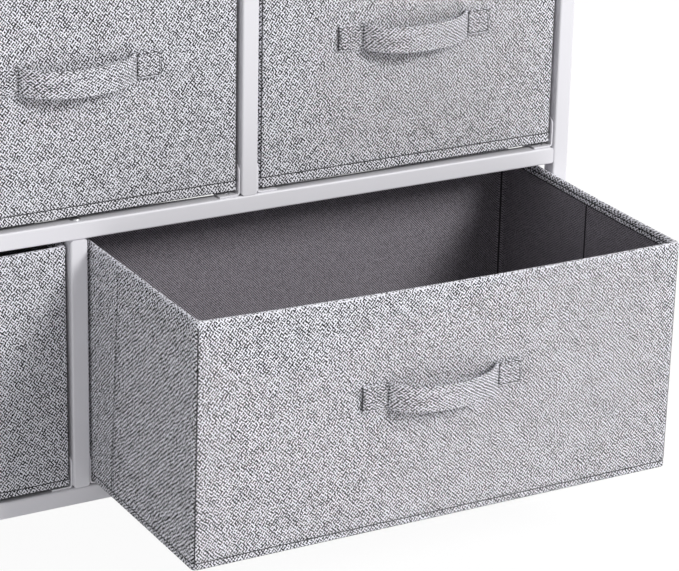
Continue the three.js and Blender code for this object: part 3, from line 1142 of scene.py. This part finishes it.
def facing(drawer, point):
    """Outward direction of the wall nearest to a point of the drawer's own frame."""
    half_x, half_y = drawer.plan.half
    if abs(abs(point.x) - half_x) < abs(abs(point.y) - half_y):
        return Vector((math.copysign(1, point.x), 0, 0))
    return Vector((0, math.copysign(1, point.y), 0))


def make_stitching(drawer, materials):
    """The thread in the bottom hem and in the two sewn ends of the handle."""
    thread = bpy.context.scene.dresser_threads
    skin = Skin()
    for line in (hem_line(drawer), *handle_lines(drawer)):
        for start, end in stitch_run(line, thread):
            out = facing(drawer, (start + end) / 2)
            add_stitch(skin, *drawer.shaped([start, end]), out, thread.radius)
    made = skin.build(f"{drawer.body}_stitching", [materials["thread"]])
    return placed(made, drawer.body, "grey_fabric")


# Fasteners


def dome_head(skin, centre, axis, radius, height):
    """A button head with a hexagon socket, standing on a surface."""
    steps = 24
    dome = [(1.0, 0.0), (0.99, 0.25), (0.9, 0.62), (0.72, 0.9), (0.55, 1.0)]
    socket_size, socket_floor = 0.42, 0.35
    axis = Vector(axis).normalized()
    side = axis.orthogonal().normalized()
    other = axis.cross(side)
    angles = [math.tau * i / steps for i in range(steps)]
    flat, half_flat = math.pi / 3, math.pi / 6
    hexagon = [
        radius * socket_size * math.cos(half_flat) / math.cos((a + half_flat) % flat - half_flat)
        for a in angles
    ]
    profile = [([out * radius] * steps, up) for out, up in dome]
    profile += [(hexagon, 1.0), (hexagon, socket_floor)]
    rings = []
    for reaches, up in profile:
        rings.append([
            centre + side * out * math.cos(a) + other * out * math.sin(a) + axis * (up * height)
            for a, out in zip(angles, reaches)
        ])
    along = [i / steps for i in range(steps + 1)]
    starts = skin.loft(rings, along, [i / len(rings) for i in range(len(rings))])
    circle = [(math.cos(a), math.sin(a)) for a in angles]
    skin.cap(starts[0], circle, True)
    skin.cap(starts[-1], circle, False)


# Operators


def make_on_drawers(*makers):
    """Runs the makers of some pieces on every drawer."""
    materials = find_materials()
    for row, bay in BAYS:
        drawer = Drawer(row, bay)
        for make in makers:
            make(drawer, materials)


class DRESSER_OT_paint_frame(bpy.types.Operator):
    """Gives the frame, guides, feet and top board their finishes"""

    bl_idname = "dresser.paint_frame"
    bl_label = "Paint Frame"

    def execute(self, context):
        materials = find_materials()
        for name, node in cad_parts.items():
            if "foot" in name:
                finish = materials["plastic"]
            elif name == "top_board":
                finish = materials["laminate"]
            else:
                finish = materials["paint"]
            for slot in node.material_slots:
                slot.material = finish
        return {"FINISHED"}


class DRESSER_OT_add_shells(bpy.types.Operator):
    """Builds the outer fabric of the drawers"""

    bl_idname = "dresser.add_shells"
    bl_label = "Add Fabric Shells"

    def execute(self, context):
        make_on_drawers(make_shell)
        return {"FINISHED"}


class DRESSER_OT_add_linings(bpy.types.Operator):
    """Builds the linings of the drawers and their base boards"""

    bl_idname = "dresser.add_linings"
    bl_label = "Add Linings"

    def execute(self, context):
        make_on_drawers(make_lining, make_base_board)
        return {"FINISHED"}


class DRESSER_OT_add_handles(bpy.types.Operator):
    """Builds the strap handles"""

    bl_idname = "dresser.add_handles"
    bl_label = "Add Strap Handles"

    def execute(self, context):
        make_on_drawers(make_handle)
        return {"FINISHED"}


class DRESSER_OT_add_stitching(bpy.types.Operator):
    """Sews the hems and the handles"""

    bl_idname = "dresser.add_stitching"
    bl_label = "Add Stitching"

    def execute(self, context):
        make_on_drawers(make_stitching)
        return {"FINISHED"}


class DRESSER_OT_add_fasteners(bpy.types.Operator):
    """Adds the heads of the bolts that join the tubes"""

    bl_idname = "dresser.add_fasteners"
    bl_label = "Add Fasteners"

    # Radius and height of a head on a rail, above a divider, and of one on a post
    RAIL_HEAD = (4.6 * MM, 2.0 * MM)
    POST_HEAD = (5.2 * MM, 2.4 * MM)

    def execute(self, context):
        skin = Skin()
        for plane in ("front", "rear"):
            divider_low, divider_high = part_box(f"{plane}_lower_divider")
            _, rail_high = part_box(f"{plane}_middle_rail")
            middle = (divider_low + divider_high) / 2
            place = Vector((middle.x, middle.y, rail_high.z))
            dome_head(skin, place, (0, 0, 1), *self.RAIL_HEAD)
            for side, sign in (("left", -1), ("right", 1)):
                post_low, post_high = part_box(f"{plane}_{side}_post")
                x = post_low.x if sign < 0 else post_high.x
                y = (post_low.y + post_high.y) / 2
                for level in ("bottom", "middle", "top"):
                    low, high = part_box(f"{plane}_{level}_rail")
                    place = Vector((x, y, (low.z + high.z) / 2))
                    dome_head(skin, place, (sign, 0, 0), *self.POST_HEAD)
        made = skin.build("frame_bolts", [find_materials()["zinc"]])
        placed(made, "frame", "frame_paint")
        return {"FINISHED"}


class DRESSER_OT_add_stage(bpy.types.Operator):
    """Adds the camera, the lights, the floor and the white background"""

    bl_idname = "dresser.add_stage"
    bl_label = "Add Stage"

    # Camera at the photograph's place, in metres and radians, with its lens in millimetres
    PLACE = (-0.87647, -2.08404, 1.12197)
    YAW = 0.505619
    PITCH = 0.336003
    ROLL = 0.020571
    SENSOR = 36.0
    LENS = 145.27
    SHIFT_Y = -0.126
    VIEW_END = 60.0

    # Square key lamp to the right and in front of the dresser, in metres
    LAMP_PLACE = (3.0, -5.2, 4.0)
    LAMP_TARGET = (0.1, 0.0, 0.3)
    LAMP_SIZE = 2.0

    # Half the floor's side in metres, and the strength of the white that the camera sees in it
    FLOOR_REACH = 12.0
    FLOOR_GLOW = 1.05

    def execute(self, context):
        self.add_camera(context.scene)
        self.add_key_lamp(context.scene)
        self.add_world(context.scene)
        self.add_floor(context.scene.dresser_stage)
        return {"FINISHED"}

    def add_camera(self, scene):
        forward = Vector((
            math.sin(self.YAW) * math.cos(self.PITCH),
            math.cos(self.YAW) * math.cos(self.PITCH),
            -math.sin(self.PITCH),
        ))
        right = Vector((math.cos(self.YAW), -math.sin(self.YAW), 0.0))
        up = right.cross(forward)
        turned_right = math.cos(self.ROLL) * right + math.sin(self.ROLL) * up
        turned_up = -math.sin(self.ROLL) * right + math.cos(self.ROLL) * up
        data = bpy.data.cameras.new("photo_camera")
        data.lens = self.LENS
        data.sensor_width = self.SENSOR
        data.shift_y = self.SHIFT_Y
        data.clip_end = self.VIEW_END
        camera = bpy.data.objects.new("photo_camera", data)
        axes = Matrix((turned_right, turned_up, -forward)).transposed()
        camera.matrix_world = Matrix.Translation(self.PLACE) @ axes.to_4x4()
        scene.collection.objects.link(camera)
        scene.camera = camera

    def add_key_lamp(self, scene):
        light = bpy.data.lights.new("key_light", "AREA")
        light.shape = "RECTANGLE"
        light.size = light.size_y = self.LAMP_SIZE
        light.energy = scene.dresser_stage.key
        lamp = bpy.data.objects.new("key_light", light)
        lamp.location = self.LAMP_PLACE
        lamp.rotation_mode = "QUATERNION"
        towards = Vector(self.LAMP_TARGET) - Vector(self.LAMP_PLACE)
        lamp.rotation_quaternion = towards.to_track_quat("-Z", "Y")
        scene.collection.objects.link(lamp)

    def add_world(self, scene):
        """Even light on the dresser, and plain white for whatever sees the background."""
        world = bpy.data.worlds.new("studio_light")
        tree = NodeTree(world)
        strength = scene.dresser_stage.fill
        fill = tree.node("ShaderNodeBackground", {}, {"Color": WHITE, "Strength": strength})
        shown = tree.whitened(tree.seen(), fill, "ShaderNodeBackground", 1.0)
        tree.node("ShaderNodeOutputWorld", {}, {"Surface": shown})
        scene.world = world

    def add_floor(self, stage):
        """A pale floor that shows mostly white and keeps the dresser's shadow."""
        shader = Shader("studio_floor")
        speck = shader.noise(shader.point(), 30.0, 2.0)
        tint = shader.shaded(speck, stage.floor, 0.985)
        material = shader.finished(Base_Color=tint, Roughness=0.85, Specular_IOR_Level=0.1)
        share = shader.seen() * stage.floor_white
        shown = shader.whitened(share, shader.surface, "ShaderNodeEmission", self.FLOOR_GLOW)
        shader.connect(shader.output.inputs["Surface"], shown)
        reach = self.FLOOR_REACH
        corners = [(-reach, -reach, 0), (reach, -reach, 0), (reach, reach, 0), (-reach, reach, 0)]
        skin = Skin()
        skin.cap(skin.add_points(corners), corners, False)
        floor = skin.build("studio_floor", [material])


class DRESSER_PT_panel(bpy.types.Panel):
    """Lists the sizes, the looks and the steps of the dresser"""

    bl_idname = "DRESSER_PT_panel"
    bl_label = "Fabric Drawer Dresser"
    bl_space_type = "VIEW_3D"
    bl_region_type = "UI"
    bl_category = "Dresser"

    def draw(self, context):
        layout = self.layout
        for settings in SETTINGS:
            box = layout.box()
            group = getattr(context.scene, settings)
            box.label(text=group.bl_rna.name)
            for key in group.bl_rna.properties.keys():
                if key not in ("rna_type", "name"):
                    box.prop(group, key)
        for operator in STEPS:
            layout.operator(operator.bl_idname)


SETTINGS = {
    "dresser_drawers": DrawerSizes,
    "dresser_handles": HandleSizes,
    "dresser_threads": ThreadSizes,
    "dresser_looks": Looks,
    "dresser_stage": StageSettings,
}
STEPS = (
    DRESSER_OT_paint_frame,
    DRESSER_OT_add_shells,
    DRESSER_OT_add_linings,
    DRESSER_OT_add_handles,
    DRESSER_OT_add_stitching,
    DRESSER_OT_add_fasteners,
    DRESSER_OT_add_stage,
)


def register():
    for settings, group in SETTINGS.items():
        bpy.utils.register_class(group)
        setattr(bpy.types.Scene, settings, PointerProperty(type=group))
    for made in (*STEPS, DRESSER_PT_panel):
        bpy.utils.register_class(made)


def unregister():
    for made in reversed((*STEPS, DRESSER_PT_panel)):
        bpy.utils.unregister_class(made)
    for settings, group in SETTINGS.items():
        delattr(bpy.types.Scene, settings)
        bpy.utils.unregister_class(group)


def main():
    register()
    bpy.context.scene.view_settings.view_transform = "Standard"
    for step in STEPS:
        getattr(bpy.ops.dresser, step.bl_idname.split(".")[1])()


if __name__ == "__main__":
    main()
